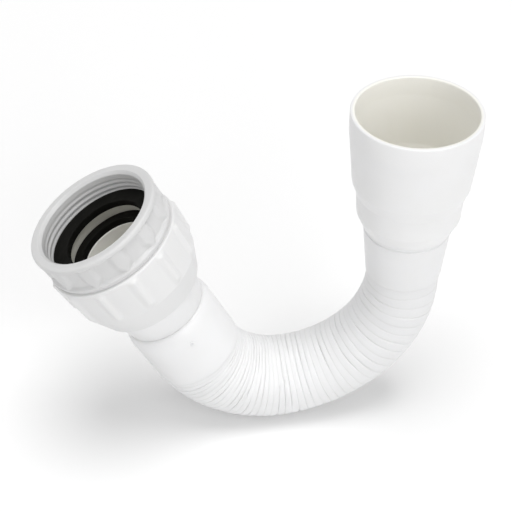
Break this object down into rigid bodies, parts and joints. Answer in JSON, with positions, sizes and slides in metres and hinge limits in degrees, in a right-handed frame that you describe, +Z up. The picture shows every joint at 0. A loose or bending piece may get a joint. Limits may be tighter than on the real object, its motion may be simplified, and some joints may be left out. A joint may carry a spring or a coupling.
{
  "type": "p trap",
  "caption": "Flexible white plastic P trap with a threaded union inlet, black rubber washers, a pleated hose bent through a U, and a stepped push-in outlet.",
  "frame": {"origin": "on the inlet axis, where the inside thread starts, 1 mm under the mouth", "axes": "+Z up with the outlet axis vertical, +X from the inlet towards the outlet, +Y away from the viewer of the picture"},
  "size_m": [0.1719, 0.0558, 0.1489],
  "materials": {
    "white_plastic": "satin",
    "black_rubber": "matte",
    "natural_plastic": "matte"
  },
  "bodies": {
    "inlet": {"inlet_adapter": "white_plastic", "inlet_washer": "black_rubber"},
    "carriage": {"union_washer": "black_rubber", "slip_ring": "natural_plastic"},
    "nut": {"union_nut": "white_plastic"},
    "tail": {"flanged_tail": "white_plastic", "cone_sleeve": "white_plastic", "inlet_cuff": "white_plastic"},
    "hose_a": {"hose_run_01": "white_plastic", "hose_run_02": "white_plastic"},
    "hose_b": {"hose_run_03": "white_plastic"},
    "hose_c": {"hose_run_04": "white_plastic"},
    "hose_d": {"hose_run_05": "white_plastic"},
    "hose_e": {"hose_run_06": "white_plastic"},
    "hose_f": {"hose_run_07": "white_plastic"},
    "hose_g": {"hose_run_08": "white_plastic"},
    "hose_h": {"hose_run_09": "white_plastic", "hose_run_10": "white_plastic"},
    "outlet": {"outlet_cuff": "white_plastic", "outlet_spigot": "white_plastic"}
  },
  "joints": [
    {"name": "nut_turn", "type": "hinge", "parent": "carriage", "child": "nut", "pos_m": [0, 0, 0], "axis": [0.4587, 0, -0.8886], "range_deg": [0, 1440]},
    {"name": "nut_travel", "type": "slide", "parent": "inlet", "child": "carriage", "axis": [0.4587, 0, -0.8886], "range_m": [0, 0.00923]},
    {"name": "union_swivel", "type": "hinge", "parent": "carriage", "child": "tail", "pos_m": [0, 0, 0], "axis": [0.4587, 0, -0.8886], "continuous": true},
    {"name": "bend_1", "type": "hinge", "parent": "tail", "child": "hose_a", "pos_m": [0.04009, 0, -0.07709], "axis": [0, 1, 0], "range_deg": [-4, 16], "deforming": ["hose_run_01", "hose_run_02"]},
    {"name": "stretch_1", "type": "slide", "parent": "hose_a", "child": "hose_b", "axis": [0.8197, 0, -0.5727], "range_m": [-0.0005, 0.01], "deforming": ["hose_run_03"]},
    {"name": "bend_2", "type": "hinge", "parent": "hose_b", "child": "hose_c", "pos_m": [0.05764, 0, -0.09084], "axis": [0, 1, 0], "range_deg": [-4, 16], "deforming": ["hose_run_04"]},
    {"name": "side_bend", "type": "hinge", "parent": "hose_c", "child": "hose_d", "pos_m": [0.06736, 0, -0.093], "axis": [0.0821, 0, 0.9966], "range_deg": [-15, 15], "deforming": ["hose_run_05"]},
    {"name": "stretch_2", "type": "slide", "parent": "hose_d", "child": "hose_e", "axis": [0.9886, 0, 0.1504], "range_m": [-0.0025, 0.008], "deforming": ["hose_run_06"]},
    {"name": "bend_3", "type": "hinge", "parent": "hose_e", "child": "hose_f", "pos_m": [0.08986, 0, -0.08935], "axis": [0, 1, 0], "range_deg": [-4, 14], "deforming": ["hose_run_07"]},
    {"name": "stretch_3", "type": "slide", "parent": "hose_f", "child": "hose_g", "axis": [0.8015, 0, 0.598], "range_m": [-0.004, 0.005], "deforming": ["hose_run_08"]},
    {"name": "bend_4", "type": "hinge", "parent": "hose_g", "child": "hose_h", "pos_m": [0.11237, 0, -0.07198], "axis": [0, 1, 0], "range_deg": [-4, 16], "deforming": ["hose_run_09"]},
    {"name": "stretch_4", "type": "slide", "parent": "hose_h", "child": "outlet", "axis": [0, 0, 1], "range_m": [-0.008, 0.002], "deforming": ["hose_run_10"]}
  ],
  "couplings": [
    {"joint": "nut_turn", "follows": "nut_travel", "rad_per_m": 2721.2}
  ]
}
